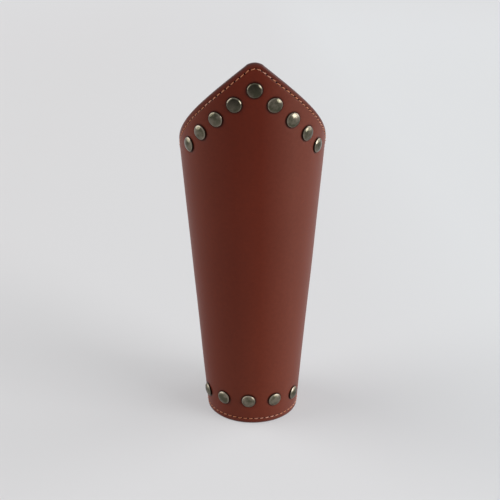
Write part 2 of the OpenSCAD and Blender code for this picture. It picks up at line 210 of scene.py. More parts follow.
def resample(points, count):
    """This many points at even distances round the same closed line."""
    runs = run_lengths(points)
    line = np.vstack([points, points[:1]])
    wanted = np.linspace(0, runs[-1], count, endpoint=False)
    return np.stack([np.interp(wanted, runs, line[:, k]) for k in range(line.shape[1])], axis=1)


def left_normals(points, closed=True):
    """Unit normals on the left of the line's direction."""
    ahead = np.roll(points, -1, axis=0)
    behind = np.roll(points, 1, axis=0)
    if not closed:
        ahead[-1] = points[-1]
        behind[0] = points[0]
    along = ahead - behind
    along /= np.linalg.norm(along, axis=1)[:, None]
    return np.stack([-along[:, 1], along[:, 0]], axis=1)


def smoothed(normals, reach):
    """The normals of a closed line, each one averaged with this many on both sides."""
    total = sum(np.roll(normals, k, axis=0) for k in range(-reach, reach + 1))
    return total / np.linalg.norm(total, axis=1)[:, None]


def inside_loop(points, loop):
    """Whether each point is inside: a ray from it then crosses the loop an odd number of
    times."""
    x, y = points[:, 0][:, None], points[:, 1][:, None]
    x0, y0 = loop[:, 0], loop[:, 1]
    x1, y1 = np.roll(x0, -1), np.roll(y0, -1)
    crosses = (y0 > y) != (y1 > y)
    at = x0 + (y - y0) * (x1 - x0) / np.where(y1 == y0, 1e-9, y1 - y0)
    return (np.sum(crosses & (x < at), axis=1) % 2) == 1


def nearest(points, others):
    """Each point's distance from the nearest of the others."""
    return np.linalg.norm(points[:, None, :] - others[None, :, :], axis=2).min(axis=1)


def is_near(points, others, gap):
    """Whether each point is within the gap of any other, a block at a time to save memory."""
    near = np.zeros(len(points), bool)
    block = 200
    for start in range(0, len(others), block):
        near |= nearest(points, others[start : start + block]) < gap
    return near


def rounded_rectangle(x0, x1, y0, y1, r, step):
    """Its points anticlockwise, with round corners and none further apart than step."""
    left, right, low, high = x0 + r, x1 - r, y0 + r, y1 - r
    points = []
    for x, y, start in ((right, low, -90), (right, high, 0), (left, high, 90), (left, low, 180)):
        for a in np.radians(start + np.linspace(0, 90, 7)):
            points.append((x + r * math.cos(a), y + r * math.sin(a)))
    loop = np.array(points + points[:1])
    filled = []
    for a, b in zip(loop[:-1], loop[1:]):
        parts = max(1, math.ceil(np.linalg.norm(b - a) / step))
        filled += [a + (b - a) * k / parts for k in range(parts)]
    return np.array(filled)


# Meshes
DEEP_INSIDE = 99.0


def add_object(name, data):
    thing = bpy.data.objects.new(name, data)
    bpy.context.scene.collection.objects.link(thing)
    return thing


def make_object(name, vertices, faces, materials, face_slots=None, attributes=None):
    mesh = bpy.data.meshes.new(name)
    mesh.from_pydata([tuple(v) for v in np.asarray(vertices) * MM], [], faces)
    for material in materials:
        mesh.materials.append(material)
    if face_slots is not None:
        mesh.polygons.foreach_set("material_index", face_slots)
    bm = bmesh.new()
    bm.from_mesh(mesh)
    bmesh.ops.recalc_face_normals(bm, faces=bm.faces)
    bm.to_mesh(mesh)
    bm.free()
    for key, values in (attributes or {}).items():
        layer = mesh.attributes.new(key, "FLOAT", "POINT")
        layer.data.foreach_set("value", np.asarray(values, np.float32))
    mesh.polygons.foreach_set("use_smooth", [True] * len(mesh.polygons))
    return add_object(name, mesh)


class Sheet:
    """A piece of leather cut from the flat. Bands of faces follow its cut edges, and
    triangles over a grid of points fill what is between them. No grid point is nearer
    than the gap to a band."""

    def __init__(self, outer, holes, grid, gap):
        self.points = []
        self.edge = []
        self.quads = []
        self.rims = []
        self.count = 0
        inner = [self.add_loop(*loop) for loop in [outer, *holes]]
        self.fill(inner, grid, gap)

    def add_loop(self, loop, normals, bands):
        """Bands at these distances from the edge: a number each, or one for each point."""
        n = len(loop)
        start = self.count
        for distance in bands:
            distances = np.broadcast_to(np.asarray(distance, float), n)
            self.points.append(loop + normals * distances[:, None])
            self.edge.append(distances)
        for b in range(len(bands) - 1):
            for k in range(n):
                a, c = start + b * n + k, start + b * n + (k + 1) % n
                self.quads.append((a, c, c + n, a + n))
        self.count += n * len(bands)
        self.rims.append((start, n))
        return np.arange(self.count - n, self.count)

    def fill(self, loops, grid, gap):
        have = np.vstack(self.points)
        rim = np.vstack([have[loop] for loop in loops])
        grid = grid[self.contains(grid, [have[loop] for loop in loops])]
        grid = grid[~is_near(grid, rim, gap)]
        seeds = np.vstack([rim, grid])
        edges = []
        for loop in loops:
            at = edges[-1][0] + 1 if edges else 0
            edges += [(at + k, at + (k + 1) % len(loop)) for k in range(len(loop))]
        found = delaunay_2d_cdt([Vector(p) for p in seeds], edges, [], 0, 1e-5)
        originals = np.array([o[0] if o else -1 for o in found[3]])
        triangles = originals[np.array(found[2])]
        middles = seeds[triangles].mean(axis=1)
        triangles = triangles[self.contains(middles, [have[loop] for loop in loops])]
        index = np.concatenate([*loops, self.count + np.arange(len(grid))])
        self.triangles = [tuple(int(i) for i in index[t]) for t in triangles]
        self.points = np.vstack([have, grid])
        self.edge = np.concatenate([*self.edge, np.full(len(grid), DEEP_INSIDE)])
        self.count += len(grid)

    @staticmethod
    def contains(points, loops):
        keep = inside_loop(points, loops[0])
        for hole in loops[1:]:
            keep &= ~inside_loop(points, hole)
        return keep

    def build(self, name, place, top, bottom, materials, attributes=None):
        """The upper face, raised by top, takes the first material, and the lower one, raised
        by bottom, takes the last."""
        n = self.count
        upper = self.quads + self.triangles
        lower = [tuple(i + n for i in reversed(f)) for f in upper]
        rims = []
        for start, count in self.rims:
            for k in range(count):
                a, c = start + k, start + (k + 1) % count
                rims.append((a, a + n, c + n, c))
        slots = [0] * len(upper) + [len(materials) - 1] * len(lower) + [0] * len(rims)
        vertices = np.vstack([place(self.points, top), place(self.points, bottom)])
        both = {key: np.concatenate([v, v]) for key, v in (attributes or {}).items()}
        both["edge_mm"] = np.concatenate([self.edge, self.edge])
        return make_object(name, vertices, upper + lower + rims, materials, slots, both)


def fallen(edge, r):
    """How far a rounded cut edge of this radius falls away, at each distance from it."""
    inside = np.clip(r - edge, 0, r)
    return r - np.sqrt(np.clip(r * r - inside * inside, 0, None))


def dent(distance, at, width):
    """A smooth hollow one unit deep at this distance."""
    return -np.exp(-(((distance - at) / width) ** 2))


def waviness(points, size):
    """Slow swells up and down, about this far apart."""
    return np.array([noise.noise(Vector((x / size, y / size, 3.0))) for x, y in points])


# Materials, where distances are in metres. A mix node has one set of sockets for each
# kind of value, and these are the places of the colour ones.
MIX_A, MIX_B, MIX_RESULT = 6, 7, 2


class Nodes:
    """A node tree. What a node gives is passed on as a pair: the node and its output."""

    def __init__(self, tree):
        self.tree = tree
        self.tree.nodes.clear()

    def add(self, kind, *first, **values):
        """The first values are for its first inputs, and each named one is for the input of
        that name or else a setting of the node."""
        node = self.tree.nodes.new(kind)
        for place, value in enumerate(first):
            self.give(node, place, value)
        for key, value in values.items():
            name = key.replace("_", " ")
            if name in node.inputs:
                self.give(node, name, value)
            else:
                setattr(node, key, value)
        return node

    def give(self, node, place, value):
        """An input's value is a pair, or else a plain one."""
        if isinstance(value, tuple) and len(value) == 2:
            self.tree.links.new(value[0].outputs[value[1]], node.inputs[place])
        else:
            node.inputs[place].default_value = value

    def combine(self, operation, a, b):
        return self.add("ShaderNodeMath", a, b, operation=operation), "Value"

    def either(self, share, a, b):
        """The shader a, and b in its place as far as the share says."""
        return self.add("ShaderNodeMixShader", share, a, b), "Shader"

    def ramp(self, value, stops):
        node = self.add("ShaderNodeValToRGB", Fac=value)
        elements = node.color_ramp.elements
        while len(elements) < len(stops):
            elements.new(0.5)
        for element, (position, colour) in zip(elements, stops):
            element.position = position
            element.color = (*colour, 1)
        return node, "Color"

    def range(self, value, low, high, to_low, to_high):
        """A number from low to high becomes one from to_low to to_high, and no further."""
        return self.add("ShaderNodeMapRange", value, low, high, to_low, to_high), "Result"

    def mix(self, factor, a, b):
        """From a, a plain colour or a pair, to the plain colour b."""
        node = self.add("ShaderNodeMix", factor, data_type="RGBA")
        self.give(node, MIX_A, a if len(a) == 2 else (*a, 1))
        self.give(node, MIX_B, (*b, 1))
        return node, MIX_RESULT

    def darken(self, colour, value):
        """A colour multiplied by a number."""
        node = self.add("ShaderNodeMix", 1, data_type="RGBA", blend_type="MULTIPLY")
        self.give(node, MIX_A, colour)
        self.give(node, MIX_B, value)
        return node, MIX_RESULT


class Surface(Nodes):
    """A material's nodes."""

    def __init__(self, name):
        self.material = bpy.data.materials.new(name)
        self.material.use_nodes = True
        super().__init__(self.material.node_tree)
        self.place = self.add("ShaderNodeTexCoord"), "Object"

    def noise(self, scale, detail, roughness, stretch=None):
        place = self.place
        if stretch is not None:
            place = self.add("ShaderNodeMapping", Vector=place, Scale=stretch), "Vector"
        node = self.add("ShaderNodeTexNoise", Vector=place, Scale=scale, Detail=detail)
        self.give(node, "Roughness", roughness)
        return node, "Fac"

    def attribute(self, name):
        return self.add("ShaderNodeAttribute", attribute_name=name), "Fac"

    def bump(self, height, strength, distance, before=None):
        node = self.add("ShaderNodeBump", Height=height, Strength=strength, Distance=distance)
        if before is not None:
            self.give(node, "Normal", before)
        return node, "Normal"

    def finish(self, **values):
        """The material, with a principled shader that has these values."""
        shader = self.add("ShaderNodeBsdfPrincipled", **values)
        self.add("ShaderNodeOutputMaterial", Surface=(shader, "BSDF"))
        return self.material


DYE_HEIGHTS = (0.02, 0.22)
# Painted sheen: between these X positions, in metres, the leather turns to its left and right
# colours, as light glancing off the flanks.
LEFT_SHEEN_X = (-0.012, -0.036)
RIGHT_SHEEN_X = (0.004, 0.024)
BURNISHED_MM = (0.6, 2.6)
PAINTED_MM = (0.3, 0.9)


def leather(name, upper, lower, left, right, paint, roughness, grain):
    """Smooth dyed leather, whose tone drifts from its lower to its upper end. Towards both flanks
    it is painted paler and browner, a painted sheen where light glances off the sides, stronger
    on the right. Over it lie clouds, specks, the burnished and painted edge, which is dark and
    smooth, painted shade in the needle holes and round the caps, and a bump of pores."""
    n = Surface(name)
    parts = n.add("ShaderNodeSeparateXYZ", Vector=n.place)
    height = n.range((parts, "Z"), *DYE_HEIGHTS, 0, 1)
    left_sheen = n.range((parts, "X"), *LEFT_SHEEN_X, 0, 1)
    right_sheen = n.range((parts, "X"), *RIGHT_SHEEN_X, 0, 1)
    colour = n.mix(height, lower, upper)
    # Painted sheen towards each flank.
    colour = n.mix(left_sheen, colour, left)
    colour = n.mix(right_sheen, colour, right)
    broad = n.noise(14, 3, 0.55, (1, 1, 0.45))
    cloud = n.range(broad, 0.3, 0.7, 0.92, 1.08)
    fine = n.noise(420, 4, 0.6)
    speck = n.range(fine, 0.35, 0.75, 0.94, 1.06)
    colour = n.darken(n.darken(colour, cloud), speck)
    edge = n.attribute("edge_mm")
    burnished = n.range(edge, *BURNISHED_MM, 0.4, 0)
    painted = n.range(edge, *PAINTED_MM, 0.8, 0)
    colour = n.mix(painted, n.mix(burnished, colour, paint), paint)
    # Painted shade in the needle holes and round the caps.
    colour = n.mix(n.attribute("pit"), colour, tuple(c * 0.08 for c in lower))
    cells = n.add("ShaderNodeTexVoronoi", feature="SMOOTH_F1", Vector=n.place, Scale=1500.0)
    pores = n.bump((cells, "Distance"), grain, 0.00008)
    creases = n.bump(fine, 0.07, 0.0002, pores)
    gloss = n.range(fine, 0.3, 0.7, roughness - 0.03, roughness + 0.04)
    polish = n.range(edge, *BURNISHED_MM, 0.7, 1)
    return n.finish(
        Base_Color=colour, Roughness=n.combine("MULTIPLY", gloss, polish), Normal=creases,
        Specular_IOR_Level=0.13,
    )


def suede(name, dark, light):
    """The rough side of leather: mottled, with a short nap, and painted shade in its needle
    holes.
    """
    n = Surface(name)
    tone = n.ramp(n.noise(35, 4, 0.6), [(0.3, dark), (0.7, light)])
    fine = n.noise(900, 3, 0.7)
    nap = n.range(fine, 0.3, 0.7, 0.8, 1.12)
    # Painted shade in the needle holes.
    colour = n.mix(n.attribute("pit"), n.darken(tone, nap), tuple(c * 0.2 for c in dark))
    return n.finish(
        Base_Color=colour, Normal=n.bump(fine, 0.35, 0.0003), Roughness=0.9,
        Specular_IOR_Level=0.2, Sheen_Weight=0.15, Sheen_Roughness=0.5,
    )


HAZE_ROUGHNESS = 0.2


def metal(name, dark, light, worn_and_glinting, roughness):
    """Antiqued metal: a cloudy patina, scuffed bright on the caps' rims, partly real scuffing and
    partly a painted glint, and painted dark where the caps' painted shade and painted dark
    reflection lie. It is duller where haze is high."""
    n = Surface(name)
    broad = n.noise(200, 3, 0.6)
    tone = n.ramp(broad, [(0.4, dark), (0.62, light)])
    patchy = n.range(n.noise(380, 2, 0.5), 0.35, 0.65, 0.35, 1.0)
    # Scuffed rims: partly real scuffing and partly a painted glint.
    rubbed_and_glinting = n.combine("MULTIPLY", n.attribute("wear"), patchy)
    colour = n.mix(rubbed_and_glinting, tone, worn_and_glinting)
    # Painted shade under the caps' rims, and a painted dark reflection on the caps near the
    # point.
    colour = n.mix(n.attribute("tarnish"), colour, tuple(c * 0.2 for c in dark))
    gloss = n.range(broad, 0.3, 0.7, roughness - 0.04, roughness + 0.08)
    haze = n.range(n.attribute("haze"), 0, 1, 0, HAZE_ROUGHNESS)
    dents = n.bump(broad, 0.10, 0.0002)
    scratches = n.bump(n.noise(2600, 3, 0.6), 0.05, 0.0001, dents)
    rough = n.combine("ADD", gloss, haze)
    return n.finish(Base_Color=colour, Roughness=rough, Normal=scratches, Metallic=1.0)


def thread(name, dark, light, pale_tone):
    """Waxed thread, with paler stretches."""
    n = Surface(name)
    fine = n.noise(1800, 3, 0.7)
    tone = n.ramp(fine, [(0.3, dark), (0.7, light)])
    # Paler in random stretches.
    pale = n.range(n.noise(90, 2, 0.5), 0.5, 0.68, 0, 0.9)
    return n.finish(
        Base_Color=n.mix(pale, tone, pale_tone), Normal=n.bump(fine, 0.3, 0.0001),
        Roughness=0.55, Sheen_Weight=0.2, Sheen_Roughness=0.4,
    )


# In both leathers the left and right colours are a painted sheen, paler and browner, where light
# glances off the flanks. On the sleeve it is stronger on the right, towards the windows.
FACE = leather(
    "face_leather", upper=(0.109, 0.0132, 0.0042), lower=(0.123, 0.0218, 0.0100),
    left=(0.121, 0.0222, 0.0106), right=(0.131, 0.0328, 0.0200), paint=(0.072, 0.036, 0.034),
    roughness=0.42, grain=0.09,
)
STRAP = leather(
    "strap_leather", upper=(0.076, 0.0118, 0.0052), lower=(0.080, 0.0145, 0.0068),
    left=(0.080, 0.0145, 0.0070), right=(0.080, 0.0155, 0.0080), paint=(0.026, 0.011, 0.010),
    roughness=0.42, grain=0.14,
)
LINING = suede("lining_leather", dark=(0.17, 0.095, 0.052), light=(0.30, 0.18, 0.105))
FLESH = suede("strap_flesh", dark=(0.075, 0.035, 0.022), light=(0.14, 0.07, 0.045))
# The rivets' rim colour is partly scuffed metal and partly a painted glint.
RIVET = metal(
    "rivet_metal", dark=(0.087, 0.083, 0.055), light=(0.200, 0.174, 0.134),
    worn_and_glinting=(0.32, 0.27, 0.215), roughness=0.18,
)
POST = metal(
    "post_metal", dark=(0.15, 0.143, 0.118), light=(0.24, 0.225, 0.19),
    worn_and_glinting=(0.31, 0.265, 0.22), roughness=0.5,
)
BUCKLE = metal(
    "buckle_metal", dark=(0.115, 0.106, 0.086), light=(0.22, 0.205, 0.17),
    worn_and_glinting=(0.36, 0.33, 0.27), roughness=0.24,
)
THREAD = thread(
    "thread", dark=(0.30, 0.088, 0.034), light=(0.57, 0.212, 0.087), pale_tone=(0.63, 0.33, 0.24),
)


# Where the rivets go: turn in degrees, height, and how high the leather is piled up there
def elbow_row_z(turn):
    return slant(turn) - ELBOW_ROW_INSET / math.cos(TIP_ANGLE)


def elbow_row():
    row = [(0.0, TIP_HEIGHT - POINT_RIVET_INSET, 0)]
    turn = 0.0
    for _ in range(ELBOW_RIVETS_EACH_SIDE):
        turn += ELBOW_RIVET_STEP * math.cos(TIP_ANGLE) / per_degree(elbow_row_z(turn))
        tilt = ELBOW_ROW_TILT / 2 * turn / SHOULDER_TURN
        row += [(side * turn, elbow_row_z(turn) - side * tilt, 0) for side in (-1, 1)]
    return row


def wrist_row():
    each_side = range(-WRIST_RIVETS_EACH_SIDE, WRIST_RIVETS_EACH_SIDE + 1)
    turns = [i * WRIST_RIVET_STEP for i in each_side]
    bows = [WRIST_ROW_BOW * (1 - math.cos(math.radians(t))) for t in turns]
    return [(WRIST_ROW_TURN + t, WRIST_ROW_Z - bow, 0) for t, bow in zip(turns, bows)]


def bar_angle(z):
    """The turn of a buckle's bar from the middle of the opening."""
    return OPENING_TURN / 2 + BAR_INSET / per_degree(z)


def strap_row(z):
    """The billet's two rivets and the chape's one."""
    root = BILLET_ROOT - STRAP_END
    chape_end = bar_angle(z) + (CHAPE_REACH - STRAP_END) / per_degree(z)
    return [
        (180 + root / per_degree(z), z, GLUE + BILLET_T),
        (180 + (root - BILLET_RIVET_STEP) / per_degree(z), z, GLUE + BILLET_T),
        (180 - chape_end, z, 2 * (GLUE + CHAPE_T)),
    ]


ELBOW_ROW = elbow_row()
WRIST_ROW = wrist_row()
STRAP_ROWS = [rivet for z in STRAP_HEIGHTS.values() for rivet in strap_row(z)]


# Sleeve. Its relief is in bands along the stitch line, where the leather is pulled in,
# and in rings round the caps, where it is pressed down.
CUT_POINTS = 3400
CUT_SMOOTHING = 8
STITCH_SMOOTHING = 6
EDGE_BANDS = (0, 0.12, 0.3, 0.55, 0.85, 1.2, 1.6)
GROOVE_BANDS = (-0.8, -0.5, -0.28, 0, 0.28, 0.5, 0.8, 1.3, 2.0)
NEEDLE_BAND = len(EDGE_BANDS) + GROOVE_BANDS.index(0)
RIVET_RINGS = ((2.4, 8), (4.2, 16), (5.0, 20), (5.8, 22), (6.8, 24), (8.0, 26))
RINGS_END = 9
FINE_REACH = 7
GAP_SHARE = 0.35
GROOVE_WIDTH = 0.55
FACE_SPACING = 2.2
FACE_ROUND = 1.15
FACE_GLUED_ROUND = 0.15
FACE_GROOVE = 0.22
FACE_NEEDLE = 0.6
CAP_PRESS = 0.3
CAP_PRESS_START = 4.4
CAP_PRESS_WIDTH = 1.5
CAP_SHADE = 0.6
CAP_SHADE_END = 5.6
CAP_SHADE_FADE = 0.6
WAVE_HEIGHT = 0.2
WAVE_SIZE = 38
LINING_SPACING = 3.2
LINING_ROUND = 0.4
LINING_GLUED_ROUND = 0.1
LINING_GROOVE = 0.15
LINING_NEEDLE = 0.3


def outline():
    """The blank's edge in the flat pattern, anticlockwise from the foot's left end."""
    corner_turn = CORNER_ROUND / per_degree(0)
    ends = [FLAP_TURN - corner_turn * (1 - math.sin(math.radians(a))) for a in range(0, 91, 5)]
    half = [*np.arange(0, 8, 0.25), *np.arange(8, ends[0] - 0.5, 1.0), *ends]
    turns = [-t for t in reversed(half[1:])] + half
    rise = np.arange(CORNER_ROUND + 1, top_z(FLAP_TURN) - 0.5, 1.0)
    places = [(t, foot_z(t)) for t in turns]
    places += [(FLAP_TURN, z) for z in rise]
    places += [(t, top_z(t)) for t in reversed(turns)]
    places += [(-FLAP_TURN, z) for z in reversed(rise)]
    return np.array([to_flat(t, z) for t, z in places])


def stitch_insets(cut):
    turn, on_cone = from_flat(cut)
    height = np.clip((on_cone - WRIST_D / 2) / TAPER / FLAP_Z, 0, 1)
    drift = STITCH_DRIFT * np.sin(np.clip(turn, -math.pi / 2, math.pi / 2))
    return STITCH_INSET_AT_FOOT + height * (STITCH_INSET - STITCH_INSET_AT_FOOT - drift)


def stitch_line():
    """The needle holes with the points between them, the normals into the sheet there,
    and the distance from the edge."""
    cut = resample(outline(), CUT_POINTS)
    insets = stitch_insets(cut)
    inward = smoothed(left_normals(cut), CUT_SMOOTHING)
    line = np.column_stack([cut + inward * insets[:, None], insets])
    stitches = round(run_lengths(line[:, :2])[-1] / STITCH_PITCH)
    line = resample(line, POINTS_PER_STITCH * stitches)
    normals = smoothed(left_normals(line[:, :2]), STITCH_SMOOTHING)
    return line[:, :2], normals, line[:, 2]


def rivet_centres(rows):
    return np.array([to_flat((turn + 180) % 360 - 180, z) for turn, z, _ in rows])


def rivet_rings(rows):
    """Points close round each rivet, so that the leather can dip towards it."""
    rings = []
    for centre in rivet_centres(rows):
        rings.append([centre])
        for r, count in RIVET_RINGS:
            a = 2 * math.pi * (np.arange(count) + r) / count
            rings.append(centre + r * np.stack([np.cos(a), np.sin(a)], axis=1))
    return np.vstack(rings)


def triangular_grid(points, spacing):
    """A grid over the box round these points."""
    low, high = points.min(axis=0), points.max(axis=0)
    rows = []
    for j, y in enumerate(np.arange(low[1], high[1], spacing * math.sqrt(3) / 2)):
        x = np.arange(low[0], high[0], spacing) + spacing / 2 * (j % 2)
        rows.append(np.stack([x, np.full(len(x), y)], axis=1))
    return np.vstack(rows)


def sleeve_sheet(line, normals, insets, trim, spacing):
    """The sheet, how deep its needle holes are from 0 to 1, which also sets the painted shade in
    them, and each point's distance from the stitch line. The trim is how far its edge lies inside
    the blank's."""
    cut = line - normals * (insets - trim)[:, None]
    bands = [*EDGE_BANDS, *(insets - trim + offset for offset in GROOVE_BANDS)]
    rivets = ELBOW_ROW + WRIST_ROW + STRAP_ROWS
    wide = triangular_grid(cut, spacing)
    close = triangular_grid(cut, spacing / 2)
    lattice = np.vstack([
        wide[~is_near(wide, line, FINE_REACH)],
        close[is_near(close, line, FINE_REACH - spacing / 2)],
    ])
    lattice = lattice[nearest(lattice, rivet_centres(rivets)) > RINGS_END]
    grid = np.vstack([rivet_rings(rivets), lattice])
    sheet = Sheet((cut, normals, bands), [], grid, spacing * GAP_SHARE)
    n = len(line)
    pit = np.zeros(sheet.count)
    for band, depth in ((NEEDLE_BAND - 1, 0.9), (NEEDLE_BAND, 1), (NEEDLE_BAND + 1, 0.9)):
        along = pit[band * n : (band + 1) * n]
        along[::POINTS_PER_STITCH] = depth
        along[1::POINTS_PER_STITCH] = depth * 0.5
        along[POINTS_PER_STITCH - 1 :: POINTS_PER_STITCH] = depth * 0.5
    from_line = np.full(sheet.count, DEEP_INSIDE)
    for band, offset in enumerate(GROOVE_BANDS, len(EDGE_BANDS)):
        from_line[band * n : (band + 1) * n] = offset
    return sheet, pit, from_line


def make_face(line, normals, insets):
    sheet, pit, from_line = sleeve_sheet(line, normals, insets, 0, FACE_SPACING)
    rivets = nearest(sheet.points, rivet_centres(ELBOW_ROW + WRIST_ROW))
    past_cap = np.clip(rivets - CAP_PRESS_START, 0, None)
    top = (
        -fallen(sheet.edge, FACE_ROUND)
        + FACE_GROOVE * dent(from_line, 0, GROOVE_WIDTH)
        - FACE_NEEDLE * pit
        + CAP_PRESS * dent(past_cap, 0, CAP_PRESS_WIDTH)
        + WAVE_HEIGHT * waviness(sheet.points, WAVE_SIZE)
    )
    bottom = fallen(sheet.edge, FACE_GLUED_ROUND) - LEATHER_T
    # A ring of painted shade round each cap, where its contact shadow falls, joins the painted
    # shade in the needle holes.
    shade = CAP_SHADE * np.clip((CAP_SHADE_END - rivets) / CAP_SHADE_FADE, 0, 1)
    dark = {"pit": np.maximum(pit, shade)}
    piece = sheet.build("sleeve_face", roll, top, bottom, [FACE], dark)
    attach(piece, "sleeve")
    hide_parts("outer_leather")


def make_lining(line, normals, insets):
    sheet, pit, from_line = sleeve_sheet(line, normals, insets, LINING_TRIM, LINING_SPACING)
    top = -fallen(sheet.edge, LINING_GLUED_ROUND) - LEATHER_T - GLUE
    bottom = (
        fallen(sheet.edge, LINING_ROUND)
        - WALL
        - LINING_GROOVE * dent(from_line, 0, GROOVE_WIDTH)
        + LINING_NEEDLE * pit
    )
    piece = sheet.build("sleeve_lining", roll, top, bottom, [LINING], {"pit": pit})
    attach(piece, "sleeve")
    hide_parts("lining")


# One stitch is a short thread of two plies that dives into a needle hole at each end.
STITCH_SIDES = 8
STITCH_STEPS = 11
STITCH_DIVE = 0.55
STITCH_SLANT = 0.3
STITCH_ENDS = 0.12
STITCH_WANDER = 0.12
STITCH_PROUD = 0.38
STITCH_SLACK = 0.1
STITCH_SINK = 0.1
PLY_DEPTH = 0.13
PLY_TWIST = 9
END_THICKNESS = 0.6


def stitch(start, end, sideways, surface, side, pull, phase):
    """Rings of points round a stitch between two needle holes, on the face that lies on
    this side, 1 for the outer one and -1 for the inner one."""
    flat, heights = [], []
    for t in np.linspace(0, 1, STITCH_STEPS):
        along = STITCH_ENDS + (1 - 2 * STITCH_ENDS) * t
        aside = STITCH_SLANT * (t - 0.5) + STITCH_WANDER * pull
        spot = start + (end - start) * along + sideways * aside
        hump = 1 - (2 * t - 1) ** 4
        proud = THREAD_D * (STITCH_PROUD + STITCH_SLACK * pull)
        middle = surface + side * ((STITCH_DIVE + proud) * hump - STITCH_DIVE)
        thickness = END_THICKNESS + (1 - END_THICKNESS) * hump
        for a in 2 * math.pi * np.arange(STITCH_SIDES) / STITCH_SIDES:
            plies = 1 + PLY_DEPTH * math.cos(2 * a - PLY_TWIST * t + phase)
            r = THREAD_D / 2 * plies * thickness
            flat.append(spot + sideways * r * math.cos(a))
            heights.append(middle + r * math.sin(a))
    return roll(np.array(flat), np.array(heights))


def tube_faces(start, steps, sides):
    """The faces of a tube of rings, with a cap at each end."""
    faces = [tuple(start + k for k in range(sides))]
    for i in range(steps - 1):
        for k in range(sides):
            a, c = start + i * sides + k, start + i * sides + (k + 1) % sides
            faces.append((a, c, c + sides, a + sides))
    faces.append(tuple(start + (steps - 1) * sides + k for k in range(sides)))
    return faces


def make_stitches(name, line, normals, surface, side):
    vertices, faces = [], []
    holes = line[::POINTS_PER_STITCH]
    for i, start in enumerate(holes):
        end = holes[(i + 1) % len(holes)]
        sideways = normals[i * POINTS_PER_STITCH + POINTS_PER_STITCH // 2]
        pull = math.sin(1.7 * i) * math.cos(0.61 * i)
        vertices.append(stitch(start, end, sideways, surface, side, pull, 2.4 * i))
        faces += tube_faces(i * STITCH_STEPS * STITCH_SIDES, STITCH_STEPS, STITCH_SIDES)
    piece = make_object(name, np.vstack(vertices), faces, [THREAD])
    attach(piece, "sleeve")


# Rivet caps: radius, height, how far the rim is scuffed bright, partly real scuffing and partly a
# painted glint, and how far the wall under it is painted dark, a painted shade where the cap's
# contact shadow falls, from the middle out
CAP_PROFILE = (
    (0.0, 2.0, 0.0, 0.0), (1.0, 1.95, 0.0, 0.0), (2.0, 1.79, 0.0, 0.0), (3.0, 1.51, 0.0, 0.0),
    (3.6, 1.27, 0.0, 0.0), (3.95, 1.08, 0.2, 0.0), (4.22, 0.88, 0.8, 0.0), (4.42, 0.68, 1.0, 0.1),
    (4.57, 0.5, 0.4, 0.5), (4.68, 0.32, 0.0, 1.0), (4.68, 0.18, 0.0, 1.0), (4.5, 0.08, 0.0, 1.0),
    (4.2, 0.02, 0.0, 1.0), (3.8, 0.0, 0.0, 1.0), (1.9, 0.0, 0.0, 1.0),
)
CAP_SIDES = 48
CAP_ASKEW = 1.3
# Painted dark reflection on the caps: where it is deepest, how far round it reaches, how dark it
# is, and how much darker the upper half is.
DARK_REFLECTION_MIDDLE = -8
DARK_REFLECTION_TURN = 36
DARK_REFLECTION_DEPTH = 0.75
DARK_REFLECTION_RISE = 0.08


def on_sleeve(turn, z, lift):
    """A frame on the outer face, with its Z outwards and its Y up the sleeve."""
    a = math.radians(turn)
    r = radius(z)
    place = Matrix.Translation((r * math.sin(a), -r * math.cos(a), z))
    place @= Matrix.Rotation(a, 4, "Z") @ Matrix.Rotation(math.pi / 2 + LEAN, 4, "X")
    return place @ Matrix.Translation((0, 0, lift))


def make_caps(group, rows, reflection_darkness, dull_from):
    """Each cap sits a little askew, as hand-set ones do. Those nearest to the point, and the
    upper half of each, are painted dark, a painted reflection of dark surroundings. Those turned
    further from the front than dull_from have a duller finish."""
    vertices, faces, wear, tarnish, haze = [], [], [], [], []
    for i, (turn, z, stack) in enumerate(rows):
        axis = (math.cos(2.4 * i), math.sin(2.4 * i), 0)
        place = on_sleeve(turn, z, stack + SEAT)
        place @= Matrix.Rotation(math.radians(CAP_ASKEW), 4, axis)
        # Painted dark reflection, strongest near the point.
        dark = reflection_darkness * (1 - ease(min(abs(turn - DARK_REFLECTION_MIDDLE) / DARK_REFLECTION_TURN, 1)))
        start = len(vertices)
        for r, h, rubbed_and_glinting, shaded in CAP_PROFILE[1:]:
            for a in 2 * math.pi * np.arange(CAP_SIDES) / CAP_SIDES:
                vertices.append(place @ Vector((r * math.cos(a), r * math.sin(a), h)))
                here = dark * (DARK_REFLECTION_DEPTH + DARK_REFLECTION_RISE * r * math.sin(a))
                # Rim scuffing and painted glint, less where the dark reflection is painted.
                wear.append(rubbed_and_glinting * (1 - here))
                # Painted shade under the rim, and the painted dark reflection where the rim is
                # not scuffed.
                tarnish.append(max(shaded, here * (1 - rubbed_and_glinting)))
        faces += tube_faces(start, len(CAP_PROFILE) - 1, CAP_SIDES)[1:]
        top = len(vertices)
        vertices.append(place @ Vector((0, 0, CAP_PROFILE[0][1])))
        wear.append(0)
        tarnish.append(DARK_REFLECTION_DEPTH * dark)
        faces += [(top, start + (k + 1) % CAP_SIDES, start + k) for k in range(CAP_SIDES)]
        haze += [1.0 if abs(turn) > dull_from else 0.0] * (top + 1 - start)
    piece = make_object(
        f"{group}_caps", [tuple(v) for v in vertices], faces, [RIVET],
        attributes={"wear": wear, "tarnish": tarnish, "haze": haze},
    )
    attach(piece, "sleeve")
    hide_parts(f"{group}_rivet_caps")


